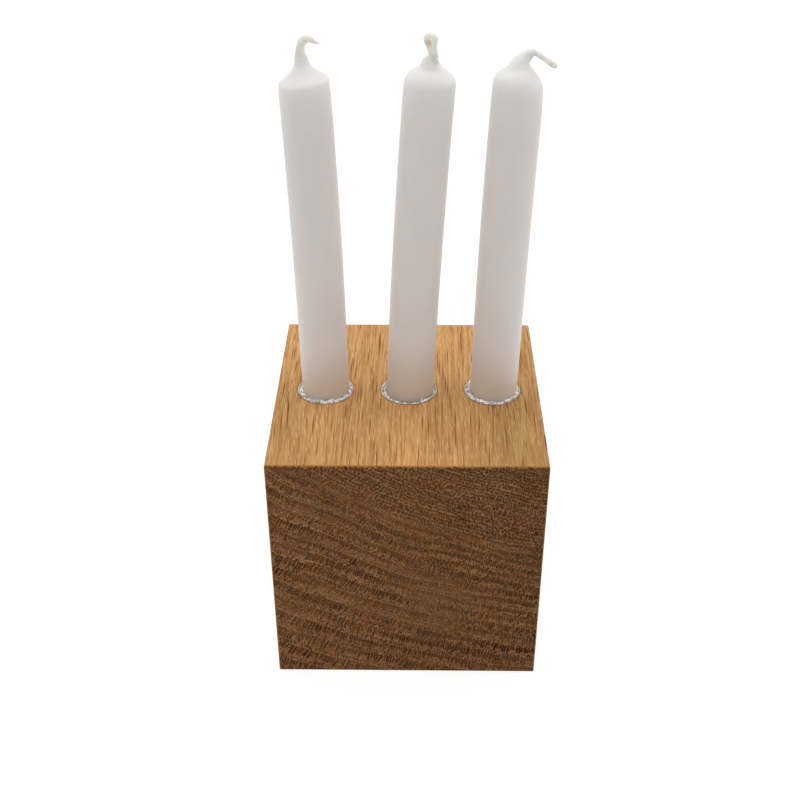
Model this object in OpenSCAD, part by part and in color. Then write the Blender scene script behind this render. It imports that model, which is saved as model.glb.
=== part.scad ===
// Advent cube: an oak block that carries tree candles for the four Sundays of Advent.
// Its four long-grain sides have one, two, three and four drilled sockets, and it is
// turned a quarter each Sunday. Here the side with three sockets is on top.
// The grain runs along Y, so the front and back are end grain and stay undrilled.
// The origin is the centre of the underside, +Z is up and the front looks along -Y.

/* [Block] */
// Edge of the oak cube
block_edge = 70; // [66:0.5:90]
// Width of the chamfer that eases every edge of the cube
edge_chamfer = 0.4; // [0.2:0.1:1.5]

/* [Sockets] */
// Wood left between the right socket of the row and the block's right side
row_margin = 4.9; // [3:0.1:9]
// Distance of the row's centre socket to the right of the block's middle
row_shift = 0.3; // [0:0.1:1]
// Distance between neighbours in the pair and in the square
grid_pitch = 24; // [18:0.5:28]
// Wood left between a socket's floor and the sockets of the next side
floor_web = 1.5; // [1:0.1:4]
// Width of the chamfer round the mouth of a socket
mouth_chamfer = 0.25; // [0.1:0.05:0.5]

/* [Cups] */
// Wall of a drawn aluminium cup
cup_wall = 0.3; // [0.2:0.05:0.4]
// Outside radius of a cup's bottom corner
cup_corner = 1; // [0.6:0.1:1.5]
// Depth of a cup's rim below the wood
cup_recess = 0.1; // [0.05:0.05:0.5]
// Glue line between a cup and its socket
glue_line = 0.05; // [0.03:0.01:0.1]

/* [Foil] */
// Room left for foil all round an upright candle
foil_room = 0.9; // [0.7:0.05:1.2]
// Height of the crumpled foil above the wood
foil_proud = 0.5; // [0.2:0.1:1.5]
// Clearance between the foil and the candle it wedges
foil_slip = 0.05; // [0.03:0.01:0.1]
// Clearance between the foil and the cup
foil_gap = 0.05; // [0.03:0.01:0.1]
// Height of the foil's lower edge above the floor of the cup
foil_lift = 1.5; // [1.2:0.1:5]

/* [Candles] */
// Diameter of a tree candle
candle_dia = 12.5; // [11:0.1:13.5]
// Length of the wax, from foot to neck
candle_length = 102; // [80:0.5:125]
// Width of the chamfer round the foot
foot_chamfer = 0.5; // [0.2:0.1:1]
// Radius that rounds the shoulder
shoulder_radius = 1.2; // [0.5:0.1:2]
// Height of the cone from the shoulder to the neck
cone_height = 3.4; // [2.5:0.1:6]
// Height of the wax neck that climbs the wick
neck_height = 1.9; // [1:0.1:4]
// Diameter of the neck at its top
neck_dia = 3.1; // [2.6:0.1:4]
// Diameter of the neck at its foot
neck_foot_dia = 4.4; // [4.1:0.1:5.5]
// Clearance under the lowest edge of a candle's foot
seat_gap = 0.05; // [0.03:0.01:0.2]

/* [Lean] */
// Angle at which the left candle leans to the right, in degrees
left_angle = -1.8; // [-2.5:0.1:2.5]
// Angle at which the centre candle leans to the right, in degrees
centre_angle = 3; // [-3.2:0.1:3.2]
// Angle at which the right candle leans to the right, in degrees
right_angle = 1.9; // [-2.5:0.1:2.5]
// Angle at which every candle leans to the back, in degrees
back_angle = 1.2; // [-1.5:0.1:1.5]

/* [Wicks] */
// Diameter of a waxed cotton wick
wick_dia = 1.8; // [1.2:0.1:2.2]
// Clearance between a wick and the wax that grips it
wick_gap = 0.02; // [0.01:0.01:0.05]

/* [Hidden] */
$fn = 64;
cut = 1; // overrun of every cut
half = block_edge / 2;

// Sockets and cups
candle_r = candle_dia / 2;
cup_bore_r = candle_r + foil_room;
cup_r = cup_bore_r + cup_wall;
socket_r = cup_r + glue_line;
row_pitch = half - row_margin - socket_r - row_shift;
socket_depth = half - grid_pitch / 2 - socket_r - floor_web;
cup_length = socket_depth - glue_line - cup_recess;
cup_bore_length = cup_length - cup_wall;
floor_depth = cup_recess + cup_bore_length; // from the wood's surface to a cup's floor
corner_angles = [0, 30, 60, 90];

// Candles
shoulder_height = candle_length - neck_height - cone_height;
shoulder_angles = [0, 15, 30, 45, 60];
slope_shares = [[0.34, 0.2], [0.62, 0.42], [0.83, 0.68]]; // of the slope's run and rise
pivot_depth = socket_depth / 2; // where a leaning candle's axis meets the socket's

// Wicks: each run has its straight length and bend radius, as shares of the wick's diameter,
// then the angle of the bend and its direction round the wick, in degrees
left_wick_shares = [[1.6, 0.94, 115, 0], [1.1, 0, 0, 0]];
centre_wick_shares = [[0.2, 1.9, 20, 180], [1.45, 0.56, 165, 300], [1.2, 0, 0, 0]];
right_wick_shares = [[0.1, 0.9, 115, 0], [3.5, 0, 0, 0]];
wick_r = wick_dia / 2;
wick_sides = 12;
bend_steps = 8;

// Turns that point +Z out of the block's sides
down_angles = [180, 0, 0];
left_angles = [0, -90, 0];
right_angles = [0, 90, 0];
up_angles = [0, 0, 0];

// Sockets of each side: [cup's name, centre of the mouth, turn]
one_side = [["one_cup", [0, 0, 0], down_angles]];
two_side = [for (s = [["upper", 1], ["lower", -1]])
    [str("two_cup_", s[0]), [-half, 0, half + s[1] * grid_pitch / 2], left_angles]];
three_side = [for (s = [["left", -1], ["centre", 0], ["right", 1]])
    [str("three_cup_", s[0]), [row_shift + s[1] * row_pitch, 0, block_edge], up_angles]];
four_side = [for (v = [["upper", 1], ["lower", -1]], u = [["front", -1], ["back", 1]])
    [str("four_cup_", u[0], "_", v[0]),
     [half, u[1] * grid_pitch / 2, half + v[1] * grid_pitch / 2], right_angles]];
sockets = concat(one_side, two_side, three_side, four_side);

// Candles: [place in the row, mouth of the socket, lean to the right, wick]
candles = [["left", three_side[0][1], left_angle, left_wick_shares],
           ["centre", three_side[1][1], centre_angle, centre_wick_shares],
           ["right", three_side[2][1], right_angle, right_wick_shares]];

// Moves its children to the mouth of a socket, with +Z pointing out of it
module at_socket(mouth, turn) {
    translate(mouth) rotate(turn) children();
}

// Length from where the axes cross down to the foot, so that the foot's low edge clears the floor
function foot_drop(tilt) =
    (floor_depth - pivot_depth - seat_gap - candle_r * sin(tilt)) / cos(tilt);

// Moves its children from the foot of an upright candle to the foot of a leaning one
module at_candle(mouth, lean) {
    tilt = acos(cos(lean) * cos(back_angle));
    translate(mouth - [0, 0, pivot_depth])
        rotate([-back_angle, lean, 0])
            translate([0, 0, -foot_drop(tilt)])
                children();
}

// Square bar along Z with its four long edges chamfered
module chamfered_bar() {
    flat = half - edge_chamfer;
    linear_extrude(block_edge, center = true)
        polygon([[flat, -half], [half, -flat], [half, flat], [flat, half],
                 [-flat, half], [-half, flat], [-half, -flat], [-flat, -half]]);
}

module socket_cut() {
    translate([0, 0, -socket_depth])
        cylinder(r = socket_r, h = socket_depth + cut);
    translate([0, 0, -mouth_chamfer])
        cylinder(r1 = socket_r, r2 = socket_r + mouth_chamfer + cut, h = mouth_chamfer + cut);
}

module oak_block() {
    color("peru")
        difference() {
            translate([0, 0, half])
                intersection() {
                    chamfered_bar();
                    rotate([90, 0, 0]) chamfered_bar();
                    rotate([0, 90, 0]) chamfered_bar();
                }
            for (s = sockets)
                at_socket(s[1], s[2]) socket_cut();
        }
}

// Quarter round of a cup's bottom corner, from its floor to its wall
function corner_points(outer_r, radius, bottom) =
    [for (a = corner_angles)
        [outer_r - radius + radius * sin(a), bottom + radius - radius * cos(a)]];

module cup() {
    bottom = -cup_recess - cup_length;
    inside = corner_points(cup_bore_r, cup_corner - cup_wall, bottom + cup_wall);
    color("silver")
        rotate_extrude()
            polygon(concat(
                [[0, bottom]],
                corner_points(cup_r, cup_corner, bottom),
                [[cup_r, -cup_recess], [cup_bore_r, -cup_recess]],
                [for (i = [len(inside) - 1 : -1 : 0]) inside[i]],
                [[0, bottom + cup_wall]]));
}

// Crumpled foil that fills the room between an upright cup and its leaning candle
module foil_packing(mouth, lean) {
    foil_bottom = -floor_depth + foil_lift;
    color("gainsboro")
        difference() {
            translate(mouth + [0, 0, foil_bottom])
                cylinder(r = cup_bore_r - foil_gap, h = foil_proud - foil_bottom);
            at_candle(mouth, lean)
                cylinder(r = candle_r + foil_slip, h = candle_length);
        }
}

module candle() {
    round_r = candle_r - shoulder_radius;
    slope_angle = shoulder_angles[len(shoulder_angles) - 1];
    slope_foot = [round_r + shoulder_radius * cos(slope_angle), shoulder_radius * sin(slope_angle)];
    neck_foot = [neck_foot_dia / 2, cone_height];
    slope = [for (s = slope_shares)
        [slope_foot[0] + s[0] * (neck_foot[0] - slope_foot[0]),
         shoulder_height + slope_foot[1] + s[1] * (neck_foot[1] - slope_foot[1])]];
    color("ivory")
        difference() {
            rotate_extrude()
                polygon(concat(
                    [[0, 0], [candle_r - foot_chamfer, 0], [candle_r, foot_chamfer]],
                    [for (a = shoulder_angles)
                        [round_r + shoulder_radius * cos(a), shoulder_height + shoulder_radius * sin(a)]],
                    slope,
                    [[neck_foot[0], shoulder_height + neck_foot[1]],
                     [neck_dia / 2, candle_length], [0, candle_length]]));
            translate([0, 0, -cut])
                cylinder(d = wick_dia + 2 * wick_gap, h = candle_length + 2 * cut);
        }
}

// A place on a wick is [centre, turn]: the columns of turn are its right, back and onward directions
function turn_y(a) = [[cos(a), 0, sin(a)], [0, 1, 0], [-sin(a), 0, cos(a)]];
function turn_z(a) = [[cos(a), -sin(a), 0], [sin(a), cos(a), 0], [0, 0, 1]];
function straight_on(place, length) = [place[0] + place[1] * [0, 0, length], place[1]];
function bent(place, radius, angle, direction) =
    let (aim = place[1] * turn_z(direction))
    [place[0] + aim * [radius * (1 - cos(angle)), 0, radius * sin(angle)],
     aim * turn_y(angle) * turn_z(-direction)];

// Places along the runs, from the end of the wax on
function wick_places(place, shares, i = 0) =
    i == len(shares) ? [] :
    let (run = shares[i],
         corner = straight_on(place, run[0] * wick_dia),
         bend = [for (k = [1 : bend_steps])
             bent(corner, run[1] * wick_dia, run[2] * k / bend_steps, run[3])])
    run[2] == 0 ? concat([corner], wick_places(corner, shares, i + 1)) :
    concat([corner], bend, wick_places(bend[bend_steps - 1], shares, i + 1));

// The wick runs the whole length of the wax, and its end bends over above the neck
module wick(shares) {
    upright = turn_z(0);
    places = concat([[[0, 0, 0], upright]], wick_places([[0, 0, candle_length], upright], shares));
    points = [for (p = places, k = [0 : wick_sides - 1])
        let (a = 360 * k / wick_sides)
        p[0] + p[1] * [wick_r * cos(a), wick_r * sin(a), 0]];
    last = len(points) - wick_sides;
    sides = [for (i = [0 : len(places) - 2], k = [0 : wick_sides - 1])
        let (here = i * wick_sides, next = (k + 1) % wick_sides)
        [here + k, here + wick_sides + k, here + wick_sides + next, here + next]];
    color("linen")
        polyhedron(points, concat(
            [[for (k = [0 : wick_sides - 1]) k]],
            sides,
            [[for (k = [wick_sides - 1 : -1 : 0]) last + k]]));
}

oak_block();
for (s = sockets)
    at_socket(s[1], s[2]) cup();
for (c = candles) {
    foil_packing(c[1], c[2]);
    at_candle(c[1], c[2]) candle();
    at_candle(c[1], c[2]) wick(c[3]);
}
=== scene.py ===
# Advent cube: an oiled oak block with tree candles, packed in crumpled foil in aluminium cups.
import math

import bmesh
import bpy
from mathutils import Matrix, Vector, noise


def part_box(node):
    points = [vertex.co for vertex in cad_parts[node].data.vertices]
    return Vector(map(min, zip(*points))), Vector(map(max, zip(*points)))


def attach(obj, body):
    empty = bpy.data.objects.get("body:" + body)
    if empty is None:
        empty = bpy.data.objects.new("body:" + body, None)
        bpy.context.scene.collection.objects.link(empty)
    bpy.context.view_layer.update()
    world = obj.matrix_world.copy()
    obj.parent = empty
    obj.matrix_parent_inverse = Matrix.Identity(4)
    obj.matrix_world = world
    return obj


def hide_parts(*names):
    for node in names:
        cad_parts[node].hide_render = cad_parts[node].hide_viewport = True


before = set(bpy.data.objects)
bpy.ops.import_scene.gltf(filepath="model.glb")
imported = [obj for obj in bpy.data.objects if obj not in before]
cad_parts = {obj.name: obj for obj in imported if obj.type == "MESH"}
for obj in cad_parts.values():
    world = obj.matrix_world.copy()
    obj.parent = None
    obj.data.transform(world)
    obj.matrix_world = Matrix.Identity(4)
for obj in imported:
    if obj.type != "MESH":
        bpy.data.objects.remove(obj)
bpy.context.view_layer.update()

# Sizes of the CAD model, in millimetres and degrees
BLOCK_EDGE = round(1000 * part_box("oak_block")[1].z, 3)
# How deep a cup's floor lies below the wood, and the point that a candle leans about
FLOOR_DEPTH = 13.65
PIVOT_DEPTH = 7
SEAT_GAP = 0.05
CUP_RADIUS = 7.15
CANDLE_RADIUS = 6.25
# Every candle leans back by this
BACK_ANGLE = 1.2
WICK_RADIUS = 0.9
# The wick's bore through the wax is open up to its top, and above it the wick is embedded
BORE_RADIUS = 0.92
BORE_TOP = 86

# Each candle: its place in the row, its lean, and its slight bow as the offset halfway up, the
# height there and the bend. The tip has the left and right ends of each ring of wax from the
# shoulder up. The wick has its line and radius above the wax, and brownish spots, partly stains
# and partly painted shade, each with its place, size and strength.
# All are in the candle's own frame: x to the right, y to the back, z up from the foot.
CANDLES = {
    "left": {
        "row": -22, "lean": -1.8, "bow": (0.80, 64, -0.0002),
        "tip": [(-5.50, 96.20, 6.56, 96.60), (-5.30, 96.46, 6.46, 97.20), (-4.85, 96.90, 6.17, 97.78),
                (-4.20, 97.50, 5.50, 98.20), (-3.41, 98.17, 4.70, 98.65), (-2.75, 98.80, 3.80, 99.30),
                (-2.16, 99.40, 3.10, 99.97), (-1.65, 100.00, 2.50, 100.55), (-1.36, 100.70, 2.10, 101.15),
                (-1.26, 101.40, 1.98, 101.75), (-1.22, 102.05, 1.92, 102.25), (-1.19, 102.40, 1.88, 102.50),
                (-1.11, 102.62, 1.78, 102.70), (-0.98, 102.82, 1.60, 102.90)],
        "tip_end": (0.35, 103.3),
        "stains_and_shade": [(-0.4, -0.8, 103.9, 1.1, 0.22), (1.7, -0.9, 106.3, 0.9, 0.25),
                   (3.6, -0.3, 105.8, 0.9, 0.2)],
        "wick": [(0.24, 0, 101.72, 1.15), (0.24, 0, 102.63, 1.27), (0.24, 0, 103.09, 1.17),
                 (0.27, 0, 103.77, 1.04), (0.36, 0, 104.45, 0.96), (0.56, 0, 105.22, 0.95),
                 (0.98, 0, 106.02, 1.00), (1.65, 0, 106.45, 0.98), (2.34, 0, 106.50, 0.89),
                 (2.93, 0, 106.24, 0.71), (3.48, 0, 105.86, 0.56), (4.03, 0, 105.64, 0.43),
                 (4.50, 0, 105.56, 0.27)]},
    "centre": {
        "row": 0, "lean": 3, "bow": (-0.21, 56, 0.00024),
        "tip": [(-5.97, 95.40, 6.30, 95.80), (-5.88, 96.40, 6.32, 96.60), (-5.66, 97.40, 6.17, 97.30),
                (-5.25, 98.20, 5.80, 97.92), (-4.60, 98.97, 5.20, 98.58), (-3.80, 99.50, 4.35, 99.20),
                (-3.00, 99.85, 3.60, 99.65), (-2.45, 100.25, 3.00, 100.10), (-2.28, 100.90, 2.62, 100.60),
                (-2.08, 101.50, 2.30, 101.10), (-1.72, 102.10, 1.98, 101.62), (-1.22, 102.58, 1.74, 102.06),
                (-0.70, 102.78, 1.48, 102.30)],
        "tip_end": (0.45, 102.60),
        "stains_and_shade": [(-0.8, -0.8, 105.9, 1.2, 0.65), (0.8, -1.9, 102.7, 1.3, 0.2),
                   (0.9, -1.8, 107.0, 0.8, 0.35)],
        "wick": [(1.00, -0.8, 100.50, 0.90), (0.82, -0.9, 101.45, 0.95), (0.58, -0.8, 102.45, 0.91),
                 (0.24, -0.5, 103.45, 0.84), (-0.15, -0.2, 104.35, 0.80), (-0.58, 0, 105.27, 0.80),
                 (-1.00, -0.1, 106.20, 0.84), (-0.95, -0.5, 107.10, 0.86), (-0.28, -1.1, 107.57, 0.81),
                 (0.45, -1.5, 107.29, 0.74), (0.66, -1.8, 106.48, 0.66), (0.62, -1.8, 105.50, 0.62),
                 (0.74, -1.7, 104.55, 0.62), (0.98, -1.6, 103.65, 0.60), (1.22, -1.5, 102.90, 0.50)]},
    "right": {
        "row": 22, "lean": 1.9, "bow": (0.23, 62, 0.00018),
        "tip": [(-5.66, 94.80, 6.32, 94.60), (-5.66, 96.20, 6.05, 96.00), (-5.42, 97.50, 5.65, 97.10),
                (-5.00, 98.40, 5.10, 98.05), (-4.40, 98.98, 4.40, 98.85), (-3.60, 99.45, 3.65, 99.65),
                (-2.90, 99.85, 3.00, 100.25), (-2.38, 100.60, 2.60, 100.85), (-1.77, 101.55, 2.40, 101.40),
                (-1.10, 102.30, 2.40, 101.90), (-0.35, 102.98, 2.44, 102.35), (0.80, 103.78, 2.60, 102.70),
                (1.75, 104.42, 2.92, 102.86), (2.75, 104.72, 3.30, 102.90), (3.50, 104.40, 3.70, 102.90),
                (4.05, 103.95, 4.02, 102.88)],
        "tip_end": (4.10, 103.38),
        "stains_and_shade": [(5.2, -0.4, 102.7, 1.3, 0.22), (7.4, -0.5, 101.4, 0.6, 0.3)],
        "wick": [(1.30, 0, 100.60, 0.80), (2.40, 0, 102.60, 0.70), (3.10, 0, 103.45, 0.66),
                 (3.83, 0, 103.46, 0.68), (4.40, 0, 103.18, 0.66), (5.05, 0, 102.81, 0.62),
                 (5.78, 0, 102.38, 0.62), (6.53, 0, 101.95, 0.65), (7.24, 0, 101.51, 0.70),
                 (7.73, 0, 101.21, 0.78), (8.19, 0, 100.93, 0.77), (8.56, 0, 100.71, 0.55)]},
}
# Up to here a candle is straight, because its cup holds it
STRAIGHT_TO = 16
# Rings of wax, from the bore's rim out to the side: heights and radii
WAX_FOOT = [(0.2, BORE_RADIUS), (0, 1.1), (0, 3), (0, 5.3), (0.04, 5.7), (0.25, 6.08), (0.8, CANDLE_RADIUS)]
# The candle is this much slimmer at its shoulder, and starts to taper and stops at these heights
TAPER, TAPER_FROM, TAPER_TO = 0.1, 50, 95
# The braid's ridges repeat over this length, and stand out by this share of its radius
BRAID_PITCH = 4.2
RIDGE_SHARE = 0.06
# The wick's blunt end: how far each ring lies past the last point, and its share of the radius
WICK_END = [(0.25, 0.8), (0.38, 0.45), (0.42, 0.05)]
# A closed end is drawn in to a ring of this radius
POLE = 0.05

# Foil at each rim: its level below or above the wood, then crumbs as angle round the rim
# (0 to the right, 270 at the front), height and half width in degrees
FOIL = {
    "left": (-0.35, [(208, 0.75, 12), (246, 0.45, 9), (262, 0.5, 8), (281, 0.5, 9), (352, 0.5, 11),
                     (60, 0.3, 25), (130, 0.4, 20)]),
    "centre": (-0.85, [(298, 0.7, 6), (312, 0.6, 5), (22, 1.2, 8), (165, 0.6, 14), (75, 0.3, 18)]),
    "right": (-0.4, [(322, 1.05, 19), (300, 0.6, 8), (345, 0.7, 8), (262, 0.35, 6), (240, 0.3, 6),
                     (190, 0.45, 12), (150, 0.6, 12), (60, 0.5, 20)]),
}
# The foil's clearance from cup and wax, its rise towards the wax, and the highest that it stands up
FOIL_TO_CUP = 0.06
FOIL_TO_WAX = 0.03
FOIL_RISE = 0.4
FOIL_PEAK = 0.55
# A crumb leans out by this share of its height
LEAN_SHARE = 0.3

# The oak's pith runs along Y, right of the block's middle and above the table
PITH_X = 62
PITH_Z = 208
# Lengths round the rings are measured at this radius
ARC_RADIUS = 175
# A ring's width is how far it lies beyond the first radius, divided by the second number: 2 mm at
# the near corner and 5.5 mm at the far one
RING_START = 88.6
RINGS_PER_WIDENING = 25.7
# Distances from the pith over which the end grain changes: its dark heart ends, rows of dashes
# begin, the net of vessels breaks up into dots, and the wood turns paler
HEART = {"From Min": 140, "From Max": 152}
ROWS_BEGIN = {"From Min": 158, "From Max": 176}
NET_ENDS = {"From Min": 165, "From Max": 169}
PALER = {"From Min": 165, "From Max": 215}

# Each softbox: its place in metres, the height that it faces, its width and its power in watts
SOFTBOXES = {
    "key_above": ((0, 0.12, 0.9), 0.08, 0.7, 3.2),
    "side_left": ((-0.7, 0.25, 0.35), 0.1, 0.5, 0.6),
    "side_right": ((0.7, 0.25, 0.35), 0.1, 0.5, 0.8),
    "front_fill": ((0, -0.9, 0.45), 0.1, 0.8, 0.2),
}
# The camera's place in metres, its heading, downward tilt and roll in degrees, and its lens
CAMERA_PLACE = (0.00147, -0.26985, 0.24437)
CAMERA_HEADING = 0.76
CAMERA_TILT = 33.39
CAMERA_ROLL = -0.11
CAMERA_LENS = 53.96
SENSOR_WIDTH = 36


# Geometry, in millimetres

def turn(angle, axis):
    return Matrix.Rotation(math.radians(angle), 4, axis)


def smooth(low, high, value):
    """0 below low, 1 above high, and an S-curve between them"""
    t = min(max((value - low) / (high - low), 0), 1)
    return t * t * (3 - 2 * t)


def candle_place(candle):
    """Where the foot of a leaning candle stands in its cup"""
    tilt = math.acos(math.cos(math.radians(candle["lean"])) * math.cos(math.radians(BACK_ANGLE)))
    drop = (FLOOR_DEPTH - PIVOT_DEPTH - SEAT_GAP - CANDLE_RADIUS * math.sin(tilt)) / math.cos(tilt)
    return (Matrix.Translation((candle["row"], 0, BLOCK_EDGE - PIVOT_DEPTH))
            @ turn(candle["lean"], "Y") @ turn(-BACK_ANGLE, "X") @ Matrix.Translation((0, 0, -drop)))


def bow(candle, height):
    """Sideways offset of the candle's axis: straight in its cup, and bowed above it"""
    offset, middle, bend = candle["bow"]
    return offset + bend * (max(height, STRAIGHT_TO) - middle) ** 2


def ring(x, y, z, radius, tilt=0):
    return Matrix.Translation((x, y, z)) @ turn(tilt, "Y") @ Matrix.Diagonal((radius, radius, 1, 1))


def ring_between(left_x, left_z, right_x, right_z):
    """A ring of the tip, given by its left and right ends"""
    run, rise = right_x - left_x, right_z - left_z
    return ring((left_x + right_x) / 2, 0, (left_z + right_z) / 2, math.hypot(run, rise) / 2,
                -math.degrees(math.atan2(rise, run)))


def loft(rings, sides, closed_round):
    """A closed skin through rings, each of which is a matrix that places a unit circle. It closes
    back on its first ring, or else its two ends are capped. Each point keeps, as its attribute
    around, where it is round its ring and its ring's number."""
    bm = bmesh.new()
    around = bm.verts.layers.float_vector.new("around")
    bmesh.ops.create_circle(bm, segments=sides, radius=1)
    for v in bm.verts:
        v[around] = v.co
    first = edges = bm.edges[:]
    bmesh.ops.transform(bm, matrix=rings[0], verts=bm.verts[:])
    for number, (before, after) in enumerate(zip(rings, rings[1:]), 1):
        made = bmesh.ops.extrude_edge_only(bm, edges=edges)["geom"]
        verts = [g for g in made if isinstance(g, bmesh.types.BMVert)]
        edges = [g for g in made if isinstance(g, bmesh.types.BMEdge) and not set(g.verts) - set(verts)]
        bmesh.ops.transform(bm, matrix=after @ before.inverted(), verts=verts)
        for v in verts:
            v[around].z = number
    if closed_round:
        bmesh.ops.bridge_loops(bm, edges=first + edges)
    else:
        bmesh.ops.holes_fill(bm, edges=first + edges, sides=0)
    bmesh.ops.recalc_face_normals(bm, faces=bm.faces[:])
    return bm


def add_piece(name, bm, place, material, body, node, smooth_shaded=True):
    """Makes an object of a mesh in millimetres, with its place in its mesh"""
    bmesh.ops.transform(bm, matrix=Matrix.Scale(0.001, 4) @ place, verts=bm.verts[:])
    mesh = bpy.data.meshes.new(name)
    bm.to_mesh(mesh)
    bm.free()
    mesh.polygons.foreach_set("use_smooth", [smooth_shaded] * len(mesh.polygons))
    piece = bpy.data.objects.new(name, mesh)
    bpy.context.collection.objects.link(piece)
    mesh.materials.append(material)
    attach(piece, body)
    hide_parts(node)
    return piece


def through(points, spacing):
    """Points on a smooth line through given ones, at least as close as spacing(point)"""
    line = [points[0]]
    padded = [2 * points[0] - points[1], *points, 2 * points[-1] - points[-2]]
    for a, b, c, d in zip(padded, padded[1:], padded[2:], padded[3:]):
        steps = math.ceil((c - b).length / spacing(b))
        for i in range(1, steps + 1):
            t = i / steps
            line.append(0.5 * (2 * b + (c - a) * t + (2 * a - 5 * b + 4 * c - d) * t ** 2
                               + (3 * b - a - 3 * c + d) * t ** 3))
    return line


def along(line):
    """Rings square to a line of points (x, y, z, radius)"""
    rings = []
    aim = Vector((0, 0, 1))
    turned = Matrix.Identity(3)
    for i, point in enumerate(line):
        way = (line[min(i + 1, len(line) - 1)] - line[max(i - 1, 0)]).xyz.normalized()
        turned = aim.rotation_difference(way).to_matrix() @ turned
        aim = way
        rings.append(Matrix.Translation(point.xyz) @ turned.to_4x4()
                     @ Matrix.Diagonal((point.w, point.w, 1, 1)))
    return rings


# Materials

# Settings that many nodes share: a soft step, a mix of colours and flat cells
SOFT = {"interpolation_type": "SMOOTHSTEP"}
COLOURS = {"data_type": "RGBA"}
CELLS = {"voronoi_dimensions": "2D", "Scale": 1.0}


def srgb(code):
    """Linear colour of an sRGB hex value"""
    parts = [int(code[i:i + 2], 16) / 255 for i in (1, 3, 5)]
    return (*[c / 12.92 if c <= 0.04045 else ((c + 0.055) / 1.055) ** 2.4 for c in parts], 1)


def add(tree, kind, settings, links=None):
    """Adds a node, with its settings and sockets by name or number, and the links into it"""
    made = tree.nodes.new("ShaderNode" + kind)
    for name, value in settings.items():
        if isinstance(name, str) and hasattr(made, name):
            setattr(made, name, value)
    for name, value in settings.items():
        if not (isinstance(name, str) and hasattr(made, name)):
            made.inputs[name].default_value = value
    for name, source in (links or {}).items():
        tree.links.new(source, made.inputs[name])
    return made


def new_material(name):
    """A named material with its tree and its surface shader"""
    material = bpy.data.materials.new(name)
    material.use_nodes = True
    return material, material.node_tree, material.node_tree.nodes["Principled BSDF"]


def log_growth(tree):
    """Where each point of the block grew: in millimetres from the pith, round it and out from it,
    and in rings. Section is the pattern of the end, which needs no length, because vessels run right
    through the block, and grain is round the pith, along the log and out from the pith."""
    place = add(tree, "TexCoord", {}).outputs["Object"]
    from_pith = add(tree, "Mapping", {"Location": (-PITH_X, 0, -PITH_Z), "Scale": (1000, 1000, 1000)},
                    {"Vector": place}).outputs[0]
    # The grain wanders by a millimetre or so over 30 mm across and some 200 mm along
    slow = add(tree, "Mapping", {"Scale": (1, 0.15, 1)}, {"Vector": from_pith}).outputs[0]
    wander = add(tree, "TexNoise", {"Scale": 0.035, "Detail": 2}, {"Vector": slow}).outputs["Color"]
    centred = add(tree, "VectorMath", {"operation": "SUBTRACT", 1: (0.5, 0.5, 0.5)}, {0: wander}).outputs[0]
    grown = add(tree, "VectorMath", {"operation": "MULTIPLY_ADD", 1: (6, 0, 6)},
                {0: centred, 2: from_pith}).outputs[0]
    flat = add(tree, "VectorMath", {"operation": "MULTIPLY", 1: (1, 0, 1)}, {0: grown}).outputs[0]
    radius = add(tree, "VectorMath", {"operation": "LENGTH"}, {0: flat}).outputs["Value"]
    parts = add(tree, "SeparateXYZ", {}, {0: grown}).outputs
    down = add(tree, "Math", {"operation": "MULTIPLY", 1: -1}, {0: parts["Z"]}).outputs[0]
    angle = add(tree, "Math", {"operation": "ARCTAN2"}, {0: parts["X"], 1: down}).outputs[0]
    around = add(tree, "Math", {"operation": "MULTIPLY", 1: ARC_RADIUS}, {0: angle}).outputs[0]
    past = add(tree, "Math", {"operation": "SUBTRACT", 1: RING_START}, {0: radius}).outputs[0]
    widening = add(tree, "Math", {"operation": "LOGARITHM", 1: math.e}, {0: past}).outputs[0]
    years = add(tree, "Math", {"operation": "MULTIPLY", 1: RINGS_PER_WIDENING}, {0: widening}).outputs[0]
    section = add(tree, "CombineXYZ", {}, {"X": around, "Y": radius}).outputs[0]
    grain = add(tree, "CombineXYZ", {}, {"X": around, "Y": parts["Y"], "Z": radius}).outputs[0]
    return {"from_pith": from_pith, "slow": slow, "x": parts["X"], "y": parts["Y"], "z": parts["Z"],
            "around": around, "radius": radius, "years": years, "section": section, "grain": grain}


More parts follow.
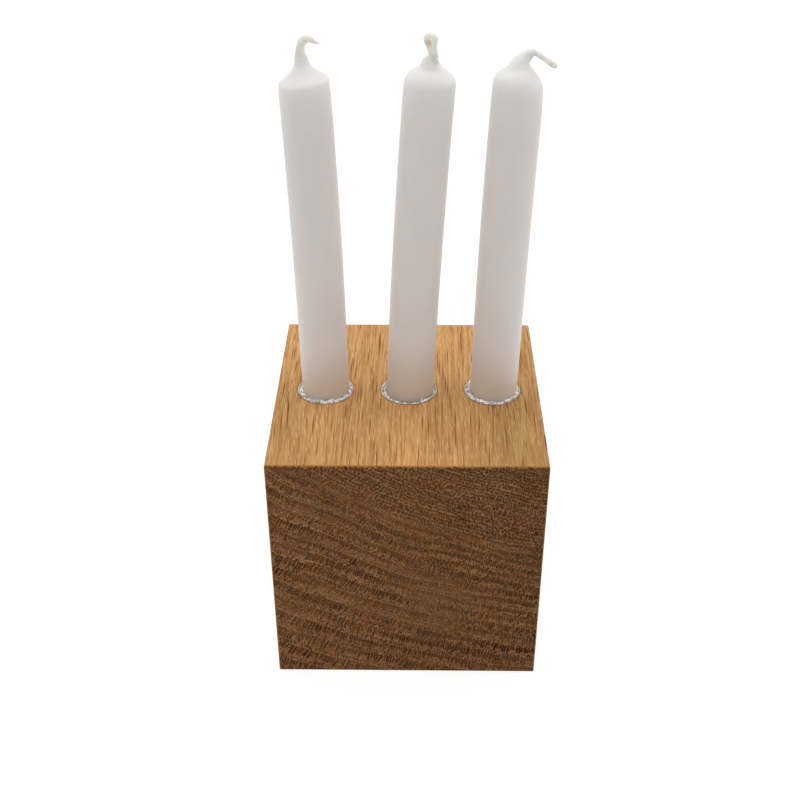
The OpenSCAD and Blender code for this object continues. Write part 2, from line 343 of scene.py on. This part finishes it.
def dash_rows(tree, log, swayed, young):
    """Early wood at the end: rows of short dark radial dashes, and the paler lines between rows"""
    # Dashes 0.4 mm wide and 0.57 mm apart, one row to a ring and most of its width long
    ring_number = add(tree, "Math", {"operation": "FLOOR"}, {0: log["years"]}).outputs[0]
    shifted = add(tree, "Math", {"operation": "MULTIPLY_ADD", 1: 0.37},
                  {0: ring_number, 2: swayed}).outputs[0]
    columns = add(tree, "Math", {"operation": "MULTIPLY", 1: 1.75}, {0: shifted}).outputs[0]
    closer = add(tree, "Math", {"operation": "MULTIPLY", 1: 1.22}, {0: log["years"]}).outputs[0]
    # Each side has its rows, which stand closer on the right, how clear the line between them is, its
    # faintest dash, and half the length of a dash as a share of its row
    left_side = (log["years"], 0.62, 0.75, 0.39)
    right_side = (closer, 0.6, 0.85, 0.42)
    dashes_by_side, lines_by_side = [], []
    for row_count, clearness, faintest, reach in (left_side, right_side):
        dash_space = add(tree, "CombineXYZ", {}, {"X": columns, "Y": row_count}).outputs[0]
        cells = add(tree, "TexVoronoi", {**CELLS, "distance": "CHEBYCHEV", "Randomness": 0.4},
                    {"Vector": dash_space}).outputs
        dashes = add(tree, "MapRange", {**SOFT, "From Min": reach, "From Max": reach - 0.1},
                     {"Value": cells["Distance"]}).outputs[0]
        strengths = add(tree, "MapRange", {"From Min": 0.2, "From Max": 0.8, "To Min": faintest},
                        {"Value": cells["Color"]}).outputs[0]
        uneven = add(tree, "Math", {"operation": "MULTIPLY"}, {0: dashes, 1: strengths}).outputs[0]
        dashes_by_side.append(uneven)
        season = add(tree, "Math", {"operation": "PINGPONG", 1: 0.5}, {0: row_count}).outputs[0]
        line = add(tree, "MapRange", {**SOFT, "From Min": 0.11, "From Max": 0.03, "To Max": clearness},
                   {"Value": season}).outputs[0]
        lines_by_side.append(line)
    right = add(tree, "MapRange", {**SOFT, "From Min": -10 - PITH_X, "From Max": 20 - PITH_X},
                {"Value": log["x"]}).outputs[0]
    dark_dashes = add(tree, "Mix", {}, {0: right, 2: dashes_by_side[0], 3: dashes_by_side[1]}).outputs[0]
    ring_lines = add(tree, "Mix", {}, {0: right, 2: lines_by_side[0], 3: lines_by_side[1]}).outputs[0]
    # Rows are strong in patches some 30 mm long, and faint nearer the pith
    row_space = add(tree, "CombineXYZ", {}, {"X": log["around"], "Y": log["years"]}).outputs[0]
    patch_space = add(tree, "Mapping", {"Scale": (0.03, 0.75, 1)}, {"Vector": row_space}).outputs[0]
    patches = add(tree, "TexNoise", {"Scale": 1.0, "Detail": 2}, {"Vector": patch_space}).outputs[0]
    strong = add(tree, "MapRange", {"From Min": 0.36, "From Max": 0.62, "To Min": 0.5},
                 {"Value": patches}).outputs[0]
    begun = add(tree, "MapRange", {"To Min": 0.3}, {"Value": young}).outputs[0]
    strength = add(tree, "Math", {"operation": "MULTIPLY"}, {0: begun, 1: strong}).outputs[0]
    rows = add(tree, "Math", {"operation": "MULTIPLY"}, {0: dark_dashes, 1: strength}).outputs[0]
    return rows, ring_lines


def dark_dots(tree, log, swayed, young):
    """Vessels at the end between the rows: dark dots, which join into a net nearer the pith"""
    # Dots 0.4 mm wide and drawn 0.6 mm apart, as the finer real ones wouldn't show
    dot_space = add(tree, "Mapping", {"Scale": (1.7, 1.6, 1)}, {"Vector": log["section"]}).outputs[0]
    dot_cells = add(tree, "TexVoronoi", {**CELLS, "Randomness": 1.0},
                    {"Vector": dot_space}).outputs["Distance"]
    dots = add(tree, "MapRange", {**SOFT, "From Min": 0.46, "From Max": 0.26},
               {"Value": dot_cells}).outputs[0]
    # A net of dots 0.65 mm apart, two or three rows to a ring
    net_columns = add(tree, "Math", {"operation": "MULTIPLY", 1: 1.55}, {0: swayed}).outputs[0]
    net_rows = add(tree, "Math", {"operation": "MULTIPLY", 1: 2.6}, {0: log["years"]}).outputs[0]
    net_space = add(tree, "CombineXYZ", {}, {"X": net_columns, "Y": net_rows}).outputs[0]
    net_cells = add(tree, "TexVoronoi", {**CELLS, "Randomness": 0.6},
                    {"Vector": net_space}).outputs["Distance"]
    net = add(tree, "MapRange", {**SOFT, "From Min": 0.5, "From Max": 0.36}, {"Value": net_cells}).outputs[0]
    beyond = add(tree, "MapRange", NET_ENDS, {"Value": log["radius"]}).outputs[0]
    spots = add(tree, "Mix", {}, {0: beyond, 2: net, 3: dots}).outputs[0]
    # They crowd in patches 2 to 3 mm across
    crowd_space = add(tree, "Mapping", {"Scale": (0.35, 0.6, 1)}, {"Vector": log["section"]}).outputs[0]
    crowds = add(tree, "TexNoise", {"Scale": 1.0, "Detail": 3}, {"Vector": crowd_space}).outputs[0]
    crowd = add(tree, "MapRange", {"From Min": 0.3, "From Max": 0.7, "To Min": 0.55},
                {"Value": crowds}).outputs[0]
    crowded = add(tree, "Math", {"operation": "MULTIPLY"}, {0: spots, 1: crowd}).outputs[0]
    calm = add(tree, "MapRange", {"To Min": 1.0, "To Max": 0.72}, {"Value": young}).outputs[0]
    return add(tree, "Math", {"operation": "MULTIPLY"}, {0: crowded, 1: calm}).outputs[0]


def end_grain(tree, log, fine):
    """The colour of the sawn end, and its open vessels"""
    young = add(tree, "MapRange", {**SOFT, **ROWS_BEGIN}, {"Value": log["radius"]}).outputs[0]
    # Rays sway sideways by up to a millimetre over 3 to 5 mm
    sway_space = add(tree, "Mapping", {"Scale": (0.22, 0.3, 1)}, {"Vector": log["section"]}).outputs[0]
    sway = add(tree, "TexNoise", {"Scale": 1.0, "Detail": 1}, {"Vector": sway_space}).outputs[0]
    swayed = add(tree, "Math", {"operation": "ADD"}, {0: sway, 1: log["around"]}).outputs[0]
    rows, ring_lines = dash_rows(tree, log, swayed, young)
    dots = dark_dots(tree, log, swayed, young)
    # Late wood in streaks 8 mm long and 1.2 mm wide
    line_space = add(tree, "Mapping", {"Scale": (0.12, 0.85, 1)}, {"Vector": log["section"]}).outputs[0]
    lines = add(tree, "TexNoise", {"Scale": 1.0, "Detail": 3, "Roughness": 0.6},
                {"Vector": line_space}).outputs[0]
    grainy = add(tree, "Mix", {0: 0.4}, {2: lines, 3: fine}).outputs[0]
    pale = add(tree, "MapRange", {"From Min": 0.36, "From Max": 0.66}, {"Value": grainy}).outputs[0]
    wood = add(tree, "Mix", {**COLOURS, 6: srgb("#7A4E2C"), 7: srgb("#A37952")}, {0: pale}).outputs[2]
    ringed = add(tree, "Mix", {**COLOURS, 7: srgb("#B08A62")}, {0: ring_lines, 6: wood}).outputs[2]
    dotted = add(tree, "Mix", {**COLOURS, 7: srgb("#45220A")}, {0: dots, 6: ringed}).outputs[2]
    dashed = add(tree, "Mix", {**COLOURS, 7: srgb("#341702")}, {0: rows, 6: dotted}).outputs[2]
    sapwood = add(tree, "MapRange", {**PALER, "To Min": 0.975, "To Max": 1.08},
                  {"Value": log["radius"]}).outputs[0]
    colour = add(tree, "VectorMath", {"operation": "SCALE"}, {0: dashed, "Scale": sapwood}).outputs[0]
    holes = add(tree, "Math", {"operation": "MAXIMUM"}, {0: rows, 1: dots}).outputs[0]
    return colour, holes


def long_grain(tree, log, fibres):
    """The colour of the planed sides, their open vessels, and their streaks"""
    # Long marks are drawn on the sum of X and Z, so that each side gets its own. They waver over
    # 7 mm across and 45 mm along, and each starts further along the log than its neighbour.
    waves = add(tree, "TexNoise", {"Scale": 0.15, "Detail": 1}, {"Vector": log["slow"]}).outputs[0]
    wavy_x = add(tree, "Math", {"operation": "MULTIPLY_ADD", 1: 0.8}, {0: waves, 2: log["x"]}).outputs[0]
    across = add(tree, "Math", {"operation": "ADD"}, {0: wavy_x, 1: log["z"]}).outputs[0]
    skewed = add(tree, "Math", {"operation": "MULTIPLY_ADD", 1: 5.3}, {0: across, 2: log["y"]}).outputs[0]
    side_plane = add(tree, "CombineXYZ", {}, {"X": across, "Y": skewed}).outputs[0]
    # Bundles of fibres 0.4 mm wide and 10 mm long, each of its own tone
    bundle_space = add(tree, "Mapping", {"Scale": (2.4, 0.1, 1)}, {"Vector": side_plane}).outputs[0]
    bundles = add(tree, "TexVoronoi", CELLS, {"Vector": bundle_space}).outputs["Color"]
    bundled = add(tree, "Mix", {0: 0.35}, {2: fibres, 3: bundles}).outputs[0]
    streaks = add(tree, "MapRange", {"From Min": 0.32, "From Max": 0.68}, {"Value": bundled}).outputs[0]
    # Vessels cut lengthwise are dark lines up to 0.25 mm wide and 10 mm long, and a few up to 0.33 mm
    # and 18 mm. Pale flecks up to 0.3 mm wide and 3.3 mm long lie between.
    marks = []
    for scale, edge, core, few, many in (((1.6, 0.04, 1), 0.2, 0.09, 0.5, 0.7),
                                         ((0.8, 0.014, 1), 0.13, 0.05, 0.4, 0.7),
                                         ((2.3, 0.2, 1), 0.33, 0.16, 0.4, 0.7)):
        # Each kind of mark starts at a place of its own
        mark_space = add(tree, "Mapping", {"Scale": scale, "Location": (13.7 * len(marks), 0, 0)},
                         {"Vector": side_plane}).outputs[0]
        cells = add(tree, "TexVoronoi", CELLS, {"Vector": mark_space}).outputs
        mark = add(tree, "MapRange", {**SOFT, "From Min": edge, "From Max": core},
                   {"Value": cells["Distance"]}).outputs[0]
        depth = add(tree, "MapRange", {"From Min": few, "From Max": many},
                    {"Value": cells["Color"]}).outputs[0]
        marks.append(add(tree, "Math", {"operation": "MULTIPLY"}, {0: mark, 1: depth}).outputs[0])
    short_lines, long_lines, flecks = marks
    vessels = add(tree, "Math", {"operation": "MAXIMUM"}, {0: short_lines, 1: long_lines}).outputs[0]
    pale_flecks = add(tree, "Math", {"operation": "MULTIPLY", 1: 0.6}, {0: flecks}).outputs[0]
    honey = add(tree, "Mix", {**COLOURS, 6: srgb("#B27E47"), 7: srgb("#DAAA70")}, {0: streaks}).outputs[2]
    flecked = add(tree, "Mix", {**COLOURS, 7: srgb("#E9C391")}, {0: pale_flecks, 6: honey}).outputs[2]
    colour = add(tree, "Mix", {**COLOURS, 7: srgb("#734019")}, {0: vessels, 6: flecked}).outputs[2]
    return colour, vessels, streaks


def slow_tone(tree, log):
    """Slow changes of tone: darker towards the pith and on the right, and painted paler towards the back, as
    painted light from behind
    """
    tone_space = add(tree, "Mapping", {"Scale": (0.06, 0.012, 0.16)}, {"Vector": log["grain"]}).outputs[0]
    clouds = add(tree, "TexNoise", {"Scale": 1.0, "Detail": 3}, {"Vector": tone_space}).outputs[0]
    cloudy = add(tree, "MapRange", {"From Min": 0.3, "From Max": 0.7, "To Min": 0.88, "To Max": 1.1},
                 {"Value": clouds}).outputs[0]
    heart = add(tree, "MapRange", {**SOFT, **HEART, "To Min": 0.88}, {"Value": log["radius"]}).outputs[0]
    flank = add(tree, "MapRange", {**SOFT, "From Min": 20 - PITH_X, "From Max": 32 - PITH_X,
                                   "To Min": 1.0, "To Max": 0.93}, {"Value": log["x"]}).outputs[0]
    # Painted light: the wood is paler towards the back, as if lit from behind
    painted_back_light = add(tree, "MapRange", {"From Max": BLOCK_EDGE / 2, "To Min": 1.0, "To Max": 1.09},
               {"Value": log["y"]}).outputs[0]
    hearted = add(tree, "Math", {"operation": "MULTIPLY"}, {0: cloudy, 1: heart}).outputs[0]
    flanked = add(tree, "Math", {"operation": "MULTIPLY"}, {0: hearted, 1: flank}).outputs[0]
    return add(tree, "Math", {"operation": "MULTIPLY"}, {0: flanked, 1: painted_back_light}).outputs[0]


def oiled_oak():
    """Oak sawn along the grain and oiled. The long grain is honey-coloured with fine straight
    fibres and thin dark vessel lines. The end grain drinks the oil, so it is dark brown: its
    vessels show as dark dots and, in the early wood of each ring, as rows of short radial dashes.
    The rings turn round a pith up on the right and grow wider away from it."""
    material, tree, shader = new_material("oiled_oak")
    log = log_growth(tree)
    # Fibres 0.4 mm wide and 20 mm long with finer ones in them, and broad ones of 1.25 mm by 55 mm
    fine_space = add(tree, "Mapping", {"Scale": (2.6, 0.05, 2.6)}, {"Vector": log["grain"]}).outputs[0]
    fine = add(tree, "TexNoise", {"Scale": 1.0, "Detail": 3, "Roughness": 0.65},
               {"Vector": fine_space}).outputs[0]
    broad_space = add(tree, "Mapping", {"Scale": (0.8, 0.018, 0.8)}, {"Vector": log["grain"]}).outputs[0]
    broad = add(tree, "TexNoise", {"Scale": 1.0, "Detail": 1}, {"Vector": broad_space}).outputs[0]
    fibres = add(tree, "Mix", {0: 0.2}, {2: fine, 3: broad}).outputs[0]
    side_colour, side_holes, streaks = long_grain(tree, log, fibres)
    end_colour, end_holes = end_grain(tree, log, fine)

    # The ends of the block, with a slightly ragged border on the chamfer, soaked orange beside it
    half = BLOCK_EDGE / 2
    along_log = add(tree, "SeparateXYZ", {}, {0: log["from_pith"]}).outputs["Y"]
    out = add(tree, "Math", {"operation": "ABSOLUTE"}, {0: along_log}).outputs[0]
    ragged = add(tree, "Math", {"operation": "MULTIPLY_ADD", 1: 0.4}, {0: streaks, 2: out}).outputs[0]
    end = add(tree, "MapRange", {**SOFT, "From Min": half - 0.08, "From Max": half + 0.08},
              {"Value": ragged}).outputs[0]
    soaked = add(tree, "MapRange", {**SOFT, "From Min": half - 0.65, "From Max": half - 0.1, "To Max": 0.75},
                 {"Value": ragged}).outputs[0]
    bordered = add(tree, "Mix", {**COLOURS, 7: srgb("#A86C33")}, {0: soaked, 6: side_colour}).outputs[2]
    wood = add(tree, "Mix", COLOURS, {0: end, 6: bordered, 7: end_colour}).outputs[2]
    toned = add(tree, "VectorMath", {"operation": "SCALE"},
                {0: wood, "Scale": slow_tone(tree, log)}).outputs[0]
    tree.links.new(toned, shader.inputs["Base Color"])

    # Open vessels are small troughs, and the sawn end is rougher than the planed sides
    shader.inputs["Specular IOR Level"].default_value = 0.06
    roughness = add(tree, "MapRange", {"To Min": 0.52, "To Max": 0.7}, {"Value": end}).outputs[0]
    tree.links.new(roughness, shader.inputs["Roughness"])
    holes = add(tree, "Mix", {}, {0: end, 2: side_holes, 3: end_holes}).outputs[0]
    height = add(tree, "Math", {"operation": "MULTIPLY_ADD", 1: 0.25}, {0: fibres, 2: holes}).outputs[0]
    bump = add(tree, "Bump", {"invert": True, "Strength": 0.5, "Distance": 0.0001},
               {"Height": height}).outputs[0]
    tree.links.new(bump, shader.inputs["Normal"])
    return material


def drawn_aluminium(axis):
    """Thin aluminium sheet drawn into a cup: a soft satin shine with fine draw lines along the wall"""
    material, tree, shader = new_material("drawn_aluminium_" + axis)
    place = add(tree, "TexCoord", {}).outputs["Object"]
    # Draw lines 0.15 mm apart and several millimetres long, drawn coarse enough to show
    scale = {"x": (150, 6500, 6500), "z": (6500, 6500, 150)}[axis]
    line_space = add(tree, "Mapping", {"Scale": scale}, {"Vector": place}).outputs[0]
    lines = add(tree, "TexNoise", {"Scale": 1.0, "Detail": 2}, {"Vector": line_space}).outputs[0]
    # Stains about 3 mm across
    stains_and_shade = add(tree, "TexNoise", {"Scale": 350, "Detail": 3}, {"Vector": place}).outputs[0]
    tint = add(tree, "Mix", {**COLOURS, 6: srgb("#B1A798"), 7: srgb("#D6CBBC")}, {0: stains_and_shade}).outputs[2]
    tree.links.new(tint, shader.inputs["Base Color"])
    shader.inputs["Metallic"].default_value = 1
    roughness = add(tree, "MapRange", {"To Min": 0.25, "To Max": 0.45}, {"Value": stains_and_shade}).outputs[0]
    tree.links.new(roughness, shader.inputs["Roughness"])
    bump = add(tree, "Bump", {"Strength": 0.25, "Distance": 0.00003}, {"Height": lines}).outputs[0]
    tree.links.new(bump, shader.inputs["Normal"])
    return material


def kitchen_foil():
    """Crumpled aluminium foil: dull grey facets with brighter ones between, painted brighter as painted
    highlights
    """
    material, tree, shader = new_material("crumpled_aluminium_foil")
    place = add(tree, "TexCoord", {}).outputs["Object"]
    # Creases about 0.4 mm apart, and facets about 0.9 mm across
    creases = add(tree, "TexVoronoi", {"Scale": 2500}, {"Vector": place}).outputs["Distance"]
    facets = add(tree, "TexNoise", {"Scale": 1100, "Detail": 2}, {"Vector": place}).outputs[0]
    # Painted highlights: random facets get a brighter tint and a smoother finish
    painted_glint = add(tree, "MapRange", {**SOFT, "From Min": 0.42, "From Max": 0.58}, {"Value": facets}).outputs[0]
    tint = add(tree, "Mix", {**COLOURS, 6: srgb("#B9B4AE"), 7: srgb("#E6E2DD")}, {0: painted_glint}).outputs[2]
    tree.links.new(tint, shader.inputs["Base Color"])
    shader.inputs["Metallic"].default_value = 1
    roughness = add(tree, "MapRange", {"To Min": 0.7, "To Max": 0.5}, {"Value": painted_glint}).outputs[0]
    tree.links.new(roughness, shader.inputs["Roughness"])
    bump = add(tree, "Bump", {"Strength": 0.5, "Distance": 0.0001}, {"Height": creases}).outputs[0]
    tree.links.new(bump, shader.inputs["Normal"])
    return material


def candle_wax():
    """White paraffin wax, pressed. Light soaks deep into it and evens out. Its foot is painted darker
    and warmer, as painted shade with warm light bounced from the wood, and it is neutral at the
    tip. The thin neck is painted palest, as painted light against its shade, and less light sinks
    into the wax there."""
    material, tree, shader = new_material("white_paraffin_wax")
    place = add(tree, "TexCoord", {}).outputs["Object"]
    # Soft unevenness some 4 mm across and 11 mm long
    cloud_space = add(tree, "Mapping", {"Scale": (220, 220, 90)}, {"Vector": place}).outputs[0]
    clouds = add(tree, "TexNoise", {"Scale": 1.0, "Detail": 3}, {"Vector": cloud_space}).outputs[0]
    body = add(tree, "Mix", {**COLOURS, 6: srgb("#E4DEDA"), 7: srgb("#E9E4E0")}, {0: clouds}).outputs[2]
    # Heights above the table, in metres
    height = add(tree, "SeparateXYZ", {}, {0: place}).outputs["Z"]
    # Painted shade: the foot is darker and warmer, as shade with warm light bounced from the wood
    painted_foot_shade = add(tree, "MapRange", {**SOFT, "From Min": 0.088, "From Max": 0.069}, {"Value": height}).outputs[0]
    tip = add(tree, "MapRange", {**SOFT, "From Min": 0.138, "From Max": 0.155}, {"Value": height}).outputs[0]
    # Painted light: the neck is paler, against the shade on it, and it takes less light into the wax
    neck = add(tree, "MapRange", {**SOFT, "From Min": 0.1555, "From Max": 0.158},
               {"Value": height}).outputs[0]
    foot_shaded = add(tree, "Mix", {**COLOURS, 7: srgb("#DED2C6")}, {0: painted_foot_shade, 6: body}).outputs[2]
    tipped = add(tree, "Mix", {**COLOURS, 7: srgb("#E7E6E5")}, {0: tip, 6: foot_shaded}).outputs[2]
    tint = add(tree, "Mix", {**COLOURS, 7: srgb("#EDECE9")}, {0: neck, 6: tipped}).outputs[2]
    tree.links.new(tint, shader.inputs["Base Color"])
    depth = add(tree, "MapRange", {"To Min": 1.0, "To Max": 0.25}, {"Value": neck}).outputs[0]
    tree.links.new(depth, shader.inputs["Subsurface Weight"])
    shader.inputs["Subsurface Radius"].default_value = (1.0, 0.9, 0.8)
    shader.inputs["Subsurface Scale"].default_value = 0.0045
    shader.inputs["IOR"].default_value = 1.44
    roughness = add(tree, "MapRange", {"To Min": 0.36, "To Max": 0.5}, {"Value": clouds}).outputs[0]
    tree.links.new(roughness, shader.inputs["Roughness"])
    bump = add(tree, "Bump", {"Strength": 0.4, "Distance": 0.0002}, {"Height": clouds}).outputs[0]
    tree.links.new(bump, shader.inputs["Normal"])
    return material


def waxed_cotton():
    """Braided cotton soaked in wax: creamy white and smooth, with brownish spots that are partly stains and
    partly painted shade
    """
    material, tree, shader = new_material("waxed_cotton_braid")
    place = add(tree, "TexCoord", {}).outputs["Object"]
    # Brownish spots, partly stains and partly painted shade
    stain_and_shade = add(tree, "Attribute", {"attribute_type": "GEOMETRY", "attribute_name": "stain_and_shade"}).outputs["Fac"]
    tint = add(tree, "Mix", {**COLOURS, 6: srgb("#F0EEE7"), 7: srgb("#D2BF9F")}, {0: stain_and_shade}).outputs[2]
    tree.links.new(tint, shader.inputs["Base Color"])
    shader.inputs["Subsurface Weight"].default_value = 0.6
    shader.inputs["Subsurface Radius"].default_value = (1.0, 0.85, 0.7)
    shader.inputs["Subsurface Scale"].default_value = 0.001
    shader.inputs["Roughness"].default_value = 0.45
    # Threads 0.2 mm apart
    threads = add(tree, "TexNoise", {"Scale": 5000, "Detail": 2}, {"Vector": place}).outputs[0]
    bump = add(tree, "Bump", {"Strength": 0.4, "Distance": 0.00005}, {"Height": threads}).outputs[0]
    tree.links.new(bump, shader.inputs["Normal"])
    return material


# Candles, wicks and foil

def add_candle(side, candle, wax):
    """Wax lofted from the top of the wick's bore down to the foot, out, up the side and over the tip"""
    rings = [ring(bow(candle, BORE_TOP), 0, BORE_TOP, size) for size in (POLE, BORE_RADIUS)]
    rings += [ring(bow(candle, z), 0, z, BORE_RADIUS) for z in (70, 50, 30, 10, 2)]
    rings += [ring(bow(candle, 0), 0, z, size) for z, size in WAX_FOOT]
    rings += [ring(bow(candle, z), 0, z, CANDLE_RADIUS - TAPER * smooth(TAPER_FROM, TAPER_TO, z))
              for z in range(4, 92, 4)]
    rings += [ring_between(*ends) for ends in candle["tip"]]
    x, z = candle["tip_end"]
    rings.append(rings[-1] @ Matrix.Diagonal((0.5, 0.5, 1, 1)))
    rings.append(Matrix.Translation((x, 0, z)) @ rings[-1].to_3x3().normalized().to_4x4()
                 @ Matrix.Diagonal((POLE, POLE, 1, 1)))
    piece = add_piece("tree_candle_" + side, loft(rings, 48, False), candle_place(candle), wax,
                      "candle_" + side, "candle_" + side)
    rounding = piece.modifiers.new("rounding", "SUBSURF")
    rounding.levels = rounding.render_levels = 1


def add_wick(side, candle, cotton):
    """One waxed braid, whose strands cross over each other in low ridges"""
    points = [Vector((bow(candle, z), 0, z, WICK_RADIUS)) for z in range(0, 97, 8)]
    points += [Vector(p) for p in candle["wick"]]
    # Its points lie closer above the bore, where it shows
    line = through(points, lambda p: 2 if p.z < BORE_TOP + 2 else 0.16)
    run = [0]
    for a, b in zip(line, line[1:]):
        run.append(run[-1] + (b - a).xyz.length)
    rings = along(line)
    for past, size in WICK_END:
        rings.append(rings[len(line) - 1] @ Matrix.Translation((0, 0, past))
                     @ Matrix.Diagonal((size, size, 1, 1)))
        run.append(run[-1])
    bm = loft(rings, 24, False)
    stain_and_shade = bm.verts.layers.float.new("stain_and_shade")
    around = bm.verts.layers.float_vector["around"]
    for v in bm.verts:
        cos, sin, number = v[around]
        number = round(number)
        angle, twist = math.atan2(sin, cos), 2 * math.pi * run[number] / BRAID_PITCH
        ridge = max(math.sin(2 * angle + twist), math.sin(2 * angle - twist))
        centre = rings[number].translation
        v.co = centre + (v.co - centre) * (1 + RIDGE_SHARE * ridge)
        # Brownish spots, partly stains and partly painted shade
        for *spot, size, strength in candle["stains_and_shade"]:
            v[stain_and_shade] = max(v[stain_and_shade], strength * smooth(size, size * 0.3, (v.co - Vector(spot)).length))
    add_piece("waxed_wick_" + side, bm, candle_place(candle), cotton, "candle_" + side,
              "wick_" + side)


def add_foil(side, candle, foil, seed):
    """Foil pressed into the room between cup and candle, with its crumpled edge at the rim"""
    low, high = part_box("foil_packing_" + side)
    cup_x, bottom = round(500 * (low.x + high.x), 3), round(1000 * low.z, 3)
    place = candle_place(candle)
    rise = place.to_3x3() @ Vector((0, 0, 1))
    base = place @ Vector((bow(candle, 0), 0, 0))
    level, crumbs = FOIL[side]
    top = BLOCK_EDGE + level

    def candle_middle(z):
        centre = base + rise * ((z - base.z) / rise.z)
        return centre.x, centre.y

    # Up along the cup, across to the wax and down along it. Each ring has its share in the
    # crumpling, and the share of its crumbs' lean that it is free to take.
    outer, inner = CUP_RADIUS - FOIL_TO_CUP, CANDLE_RADIUS + FOIL_TO_WAX
    wall = [(bottom, 0), (bottom + 4, 0), (bottom + 8, 0),
            (top - 0.9, 0), (top - 0.4, 0.5), (top - 0.15, 0.9)]
    rings = [ring(cup_x, 0, z, outer) for z, share in wall]
    shares = [(share, 1) for z, share in wall]
    x, y = candle_middle(top)
    across = 7
    for k in range(across + 1):
        t = k / across
        rings.append(ring(cup_x + (x - cup_x) * t, y * t, top + FOIL_RISE * t, outer + (inner - outer) * t))
        shares.append((1, 1 - t))
    for z, share in reversed(wall):
        rings.append(ring(*candle_middle(z), z, inner))
        shares.append((share, 0))
    bm = loft(rings, 400, True)
    around = bm.verts.layers.float_vector["around"]
    for v in bm.verts:
        cos, sin, number = v[around]
        share, free = shares[round(number)]
        if share:
            angle = math.degrees(math.atan2(sin, cos)) % 360
            # Folds 1.1 mm, creases 0.45 mm and fine creases 0.2 mm across, drawn out upwards
            spot = Vector((v.co.x, v.co.y, v.co.z * 0.3))
            fold = noise.noise(spot * 0.9 + Vector((seed, 0, 0)))
            crease = 1 - 2.5 * abs(noise.noise(spot * 2.3 + Vector((0, seed, 0))))
            fine = 1 - 2.5 * abs(noise.noise(spot * 5.5 + Vector((0, 0, seed))))
            crumb = 0
            for middle, height, half in crumbs:
                away = abs((angle - middle + 180) % 360 - 180)
                crumb = max(crumb, height * smooth(half * 1.5, half * 0.5, away))
            push = 0.15 * fold + 0.13 * crease + 0.06 * fine
            v.co.z += share * (push + crumb * (0.75 + 0.35 * crease))
            v.co.z = min(v.co.z, BLOCK_EDGE + FOIL_PEAK)
            v.co.x += cos * crumb * share * free * LEAN_SHARE
            v.co.y += sin * crumb * share * free * LEAN_SHARE
    add_piece("foil_crumple_" + side, bm, Matrix.Identity(4), foil, "block",
              "foil_packing_" + side, smooth_shaded=False)


def give_finish(name, material):
    """Gives a CAD node its material"""
    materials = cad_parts[name].data.materials
    materials.clear()
    materials.append(material)


give_finish("oak_block", oiled_oak())
aluminium = {axis: drawn_aluminium(axis) for axis in "xz"}
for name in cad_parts:
    if "_cup" in name:
        give_finish(name, aluminium["x" if name.startswith(("two", "four")) else "z"])

wax, cotton, foil = candle_wax(), waxed_cotton(), kitchen_foil()
for seed, (side, candle) in enumerate(CANDLES.items(), 3):
    add_candle(side, candle, wax)
    add_wick(side, candle, cotton)
    add_foil(side, candle, foil, seed)


# Studio

def seen_directly(tree):
    """1 for rays that show a background: from the camera, off gloss and through glass"""
    path = add(tree, "LightPath", {}).outputs
    shine = add(tree, "Math", {"operation": "MAXIMUM"},
                {0: path["Is Glossy Ray"], 1: path["Is Transmission Ray"]}).outputs[0]
    return add(tree, "Math", {"operation": "MAXIMUM"}, {0: path["Is Camera Ray"], 1: shine}).outputs[0]


def add_floor():
    """A pale tabletop. Where it shows, it glows to white outside the object's soft shadow."""
    bm = bmesh.new()
    bmesh.ops.create_grid(bm, x_segments=1, y_segments=1, size=3)
    mesh = bpy.data.meshes.new("floor")
    bm.to_mesh(mesh)
    bm.free()
    floor = bpy.data.objects.new("floor", mesh)
    bpy.context.collection.objects.link(floor)
    material, tree, shader = new_material("pale_tabletop")
    seen = seen_directly(tree)
    tint = add(tree, "Mix", {**COLOURS, 6: srgb("#F2F2F2"), 7: srgb("#8C8C8C")}, {0: seen}).outputs[2]
    tree.links.new(tint, shader.inputs["Base Color"])
    shader.inputs["Roughness"].default_value = 0.9
    shader.inputs["Specular IOR Level"].default_value = 0
    shader.inputs["Emission Color"].default_value = (1, 1, 1, 1)
    glow = add(tree, "Math", {"operation": "MULTIPLY", 1: 0.86}, {0: seen}).outputs[0]
    tree.links.new(glow, shader.inputs["Emission Strength"])
    mesh.materials.append(material)


def add_world():
    """Plain white light from all round, and a white background"""
    world = bpy.data.worlds.new("white_studio")
    world.use_nodes = True
    bpy.context.scene.world = world
    tree = world.node_tree
    strength = add(tree, "MapRange", {"To Min": 0.57, "To Max": 1.0},
                   {"Value": seen_directly(tree)}).outputs[0]
    background = tree.nodes["Background"]
    background.inputs["Color"].default_value = (1, 1, 1, 1)
    tree.links.new(strength, background.inputs["Strength"])


def add_softbox(name, place, faced_height, size, watts):
    """A square lamp that faces the object's axis"""
    light = bpy.data.lights.new(name, "AREA")
    light.shape = "SQUARE"
    light.size = size
    light.energy = watts
    lamp = bpy.data.objects.new(name, light)
    lamp.location = place
    lamp.rotation_euler = (Vector((0, 0, faced_height)) - Vector(place)).to_track_quat("-Z", "Y").to_euler()
    bpy.context.collection.objects.link(lamp)


def add_camera():
    """The photograph's view"""
    camera = bpy.data.cameras.new("camera")
    camera.lens = CAMERA_LENS
    camera.sensor_width = SENSOR_WIDTH
    eye = bpy.data.objects.new("camera", camera)
    eye.matrix_world = (Matrix.Translation(CAMERA_PLACE) @ turn(CAMERA_HEADING, "Z")
                        @ turn(90 - CAMERA_TILT, "X") @ turn(CAMERA_ROLL, "Z"))
    bpy.context.collection.objects.link(eye)
    bpy.context.scene.camera = eye


add_floor()
add_world()
for name, softbox in SOFTBOXES.items():
    add_softbox(name, *softbox)
add_camera()
bpy.context.scene.view_settings.view_transform = "Standard"
